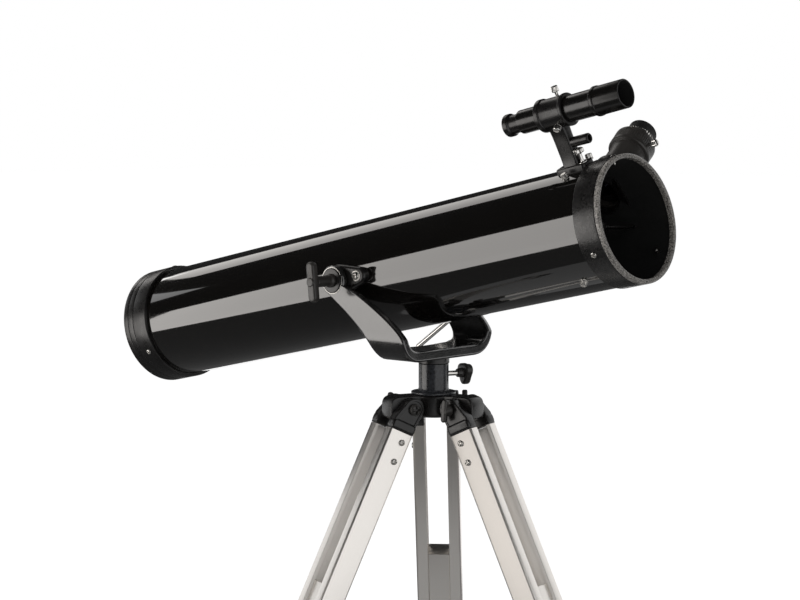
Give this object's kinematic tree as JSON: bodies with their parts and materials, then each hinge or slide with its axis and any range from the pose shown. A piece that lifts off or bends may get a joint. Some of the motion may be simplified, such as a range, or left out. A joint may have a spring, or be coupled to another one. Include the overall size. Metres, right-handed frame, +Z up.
{
  "type": "newtonian reflector telescope",
  "caption": "Small newtonian reflector telescope with side focuser and finder, in a swept yoke mount with a slow-motion rod, on a folding twin-rail aluminium tripod.",
  "frame": {"origin": "on the floor under the azimuth axis, midway between the tripod's feet", "axes": "+X the way the tube points, +Y towards the side with the focuser, +Z up along the azimuth axis"},
  "size_m": [0.7777, 0.6228, 0.9705],
  "materials": {
    "gloss_black_enamel": "gloss",
    "black_plastic": "satin",
    "dark_grey_plastic": "satin",
    "satin_black_casting": "satin",
    "dark_grey_paint": "satin, fine texture",
    "anodised_aluminium": "satin anodised",
    "chrome": "polished",
    "black_rubber": "matt",
    "silvered_glass": "polished",
    "coated_glass": "polished"
  },
  "bodies": {
    "tripod": {"tripod_hub": "black_plastic", "azimuth_socket": "dark_grey_paint"},
    "yoke": {"yoke": "satin_black_casting"},
    "azimuth_lock_knob": {"azimuth_lock_knob": "dark_grey_plastic"},
    "optical_tube": {"main_tube": "gloss_black_enamel", "front_ring": "black_plastic", "rear_ring": "black_plastic", "mirror_cell": "black_plastic", "primary_mirror": "silvered_glass", "spider": "black_plastic", "secondary_mirror": "silvered_glass", "trunnion_near": "black_plastic", "trunnion_far": "black_plastic", "focuser_base": "black_plastic", "finder_bracket": "black_plastic", "finder_tube": "gloss_black_enamel", "finder_objective": "coated_glass", "rod_lug": "black_plastic"},
    "altitude_knob_near": {"altitude_knob_near": "dark_grey_plastic"},
    "altitude_knob_far": {"altitude_knob_far": "dark_grey_plastic"},
    "slow_motion_rod": {"slow_motion_rod": "chrome"},
    "rod_swivel": {"rod_swivel": "black_plastic"},
    "focus_pinion": {"focus_shaft": "chrome", "focus_knob_front": "dark_grey_plastic", "focus_knob_rear": "dark_grey_plastic"},
    "drawtube": {"drawtube": "dark_grey_plastic"},
    "eyepiece": {"eyepiece": "black_plastic", "eyecup": "black_rubber"},
    "eyepiece_screw": {"eyepiece_screw": "chrome"},
    "finder_eyepiece": {"finder_eyepiece": "black_plastic"},
    "finder_screw_1": {"finder_screw_1": "chrome"},
    "finder_screw_2": {"finder_screw_2": "chrome"},
    "finder_screw_3": {"finder_screw_3": "chrome"},
    "leg_1": {"leg_head_1_a": "black_plastic", "leg_head_1_b": "black_plastic", "rail_1_a": "anodised_aluminium", "rail_1_b": "anodised_aluminium", "leg_clamp_1": "black_plastic"},
    "leg_bolt_1": {"leg_bolt_1": "dark_grey_plastic"},
    "clamp_knob_1": {"clamp_knob_1": "dark_grey_plastic"},
    "lower_leg_1": {"lower_leg_1": "anodised_aluminium", "foot_1": "black_rubber"},
    "leg_2": {"leg_head_2_a": "black_plastic", "leg_head_2_b": "black_plastic", "rail_2_a": "anodised_aluminium", "rail_2_b": "anodised_aluminium", "leg_clamp_2": "black_plastic"},
    "leg_bolt_2": {"leg_bolt_2": "dark_grey_plastic"},
    "clamp_knob_2": {"clamp_knob_2": "dark_grey_plastic"},
    "lower_leg_2": {"lower_leg_2": "anodised_aluminium", "foot_2": "black_rubber"},
    "leg_3": {"leg_head_3_a": "black_plastic", "leg_head_3_b": "black_plastic", "rail_3_a": "anodised_aluminium", "rail_3_b": "anodised_aluminium", "leg_clamp_3": "black_plastic"},
    "leg_bolt_3": {"leg_bolt_3": "dark_grey_plastic"},
    "clamp_knob_3": {"clamp_knob_3": "dark_grey_plastic"},
    "lower_leg_3": {"lower_leg_3": "anodised_aluminium", "foot_3": "black_rubber"}
  },
  "joints": [
    {"name": "azimuth_turn", "type": "hinge", "parent": "tripod", "child": "yoke", "pos_m": [0, 0, 0.67904], "axis": [0, 0, 1], "continuous": true},
    {"name": "azimuth_lock_turn", "type": "hinge", "parent": "tripod", "child": "azimuth_lock_knob", "pos_m": [0, 0, 0.66704], "axis": [0.3859, 0.9225, 0], "range_deg": [0, 360]},
    {"name": "altitude_tilt", "type": "hinge", "parent": "yoke", "child": "optical_tube", "pos_m": [-0.072, 0, 0.76644], "axis": [0, -1, 0], "range_deg": [-10, 50]},
    {"name": "altitude_knob_near_turn", "type": "hinge", "parent": "yoke", "child": "altitude_knob_near", "pos_m": [-0.072, -0.0785, 0.76644], "axis": [0, -1, 0], "range_deg": [0, 360]},
    {"name": "altitude_knob_far_turn", "type": "hinge", "parent": "yoke", "child": "altitude_knob_far", "pos_m": [-0.072, 0.0785, 0.76644], "axis": [0, 1, 0], "range_deg": [0, 360]},
    {"name": "rod_pivot", "type": "hinge", "parent": "optical_tube", "child": "slow_motion_rod", "pos_m": [0.06239, 0.0838, 0.79596], "axis": [0, -1, 0], "range_deg": [-2.4, 1.2]},
    {"name": "rod_slide", "type": "slide", "parent": "slow_motion_rod", "child": "rod_swivel", "axis": [-0.809, 0, -0.5878], "range_m": [-0.011, 0.051]},
    {"name": "focus_turn", "type": "hinge", "parent": "optical_tube", "child": "focus_pinion", "pos_m": [0.17864, 0.08315, 0.84986], "axis": [0.9767, 0, 0.2146], "range_deg": [-180, 333]},
    {"name": "drawtube_slide", "type": "slide", "parent": "optical_tube", "child": "drawtube", "axis": [-0.1231, 0.8192, 0.5602], "range_m": [-0.0276, 0.0149]},
    {"name": "eyepiece_slide", "type": "slide", "parent": "drawtube", "child": "eyepiece", "axis": [-0.1231, 0.8192, 0.5602], "range_m": [0, 0.02]},
    {"name": "eyepiece_screw_turn", "type": "hinge", "parent": "drawtube", "child": "eyepiece_screw", "pos_m": [0.18882, 0.11673, 0.90742], "axis": [0.9767, 0, 0.2146], "range_deg": [0, 360]},
    {"name": "finder_focus", "type": "slide", "parent": "optical_tube", "child": "finder_eyepiece", "axis": [-0.9767, 0, -0.2146], "range_m": [0, 0.008]},
    {"name": "finder_screw_1_turn", "type": "hinge", "parent": "optical_tube", "child": "finder_screw_1", "pos_m": [0.19369, -0.04634, 0.95517], "axis": [-0.2016, -0.342, 0.9178], "range_deg": [0, 360]},
    {"name": "finder_screw_2_turn", "type": "hinge", "parent": "optical_tube", "child": "finder_screw_2", "pos_m": [0.19936, -0.05101, 0.92935], "axis": [0.1644, -0.6428, -0.7482], "range_deg": [0, 360]},
    {"name": "finder_screw_3_turn", "type": "hinge", "parent": "optical_tube", "child": "finder_screw_3", "pos_m": [0.19739, -0.02578, 0.93832], "axis": [0.0373, 0.9848, -0.1696], "range_deg": [0, 360]},
    {"name": "leg_1_fold", "type": "hinge", "parent": "tripod", "child": "leg_1", "pos_m": [0.03373, 0.0043, 0.63454], "axis": [-0.1264, 0.992, 0], "range_deg": [0, 24]},
    {"name": "leg_bolt_1_turn", "type": "hinge", "parent": "tripod", "child": "leg_bolt_1", "pos_m": [0.03373, 0.0043, 0.63454], "axis": [-0.1264, 0.992, 0], "range_deg": [0, 360]},
    {"name": "clamp_knob_1_turn", "type": "hinge", "parent": "leg_1", "child": "clamp_knob_1", "pos_m": [0.29422, 0.03748, 0.08086], "axis": [0.899, 0.1145, 0.4226], "range_deg": [0, 360]},
    {"name": "lower_leg_1_slide", "type": "slide", "parent": "leg_1", "child": "lower_leg_1", "axis": [0.4192, 0.0534, -0.9063], "range_m": [0, 0.35]},
    {"name": "leg_2_fold", "type": "hinge", "parent": "tripod", "child": "leg_2", "pos_m": [-0.02058, 0.02706, 0.63454], "axis": [-0.7959, -0.6054, 0], "range_deg": [0, 24]},
    {"name": "leg_bolt_2_turn", "type": "hinge", "parent": "tripod", "child": "leg_bolt_2", "pos_m": [-0.02058, 0.02706, 0.63454], "axis": [-0.7959, -0.6054, 0], "range_deg": [0, 360]},
    {"name": "clamp_knob_2_turn", "type": "hinge", "parent": "leg_2", "child": "clamp_knob_2", "pos_m": [-0.17957, 0.23606, 0.08086], "axis": [-0.5487, 0.7213, 0.4226], "range_deg": [0, 360]},
    {"name": "lower_leg_2_slide", "type": "slide", "parent": "leg_2", "child": "lower_leg_2", "axis": [-0.2559, 0.3364, -0.9063], "range_m": [0, 0.35]},
    {"name": "leg_3_fold", "type": "hinge", "parent": "tripod", "child": "leg_3", "pos_m": [-0.01314, -0.03136, 0.63454], "axis": [0.9223, -0.3866, 0], "range_deg": [0, 24]},
    {"name": "leg_bolt_3_turn", "type": "hinge", "parent": "tripod", "child": "leg_bolt_3", "pos_m": [-0.01314, -0.03136, 0.63454], "axis": [0.9223, -0.3866, 0], "range_deg": [0, 360]},
    {"name": "clamp_knob_3_turn", "type": "hinge", "parent": "leg_3", "child": "clamp_knob_3", "pos_m": [-0.11465, -0.27354, 0.08086], "axis": [-0.3503, -0.8359, 0.4226], "range_deg": [0, 360]},
    {"name": "lower_leg_3_slide", "type": "slide", "parent": "leg_3", "child": "lower_leg_3", "axis": [-0.1634, -0.3898, -0.9063], "range_m": [0, 0.35]}
  ],
  "couplings": [
    {"joint": "rod_slide", "follows": "altitude_tilt", "m_per_rad": 0.05637},
    {"joint": "focus_turn", "follows": "drawtube_slide", "rad_per_m": -208.33}
  ]
}
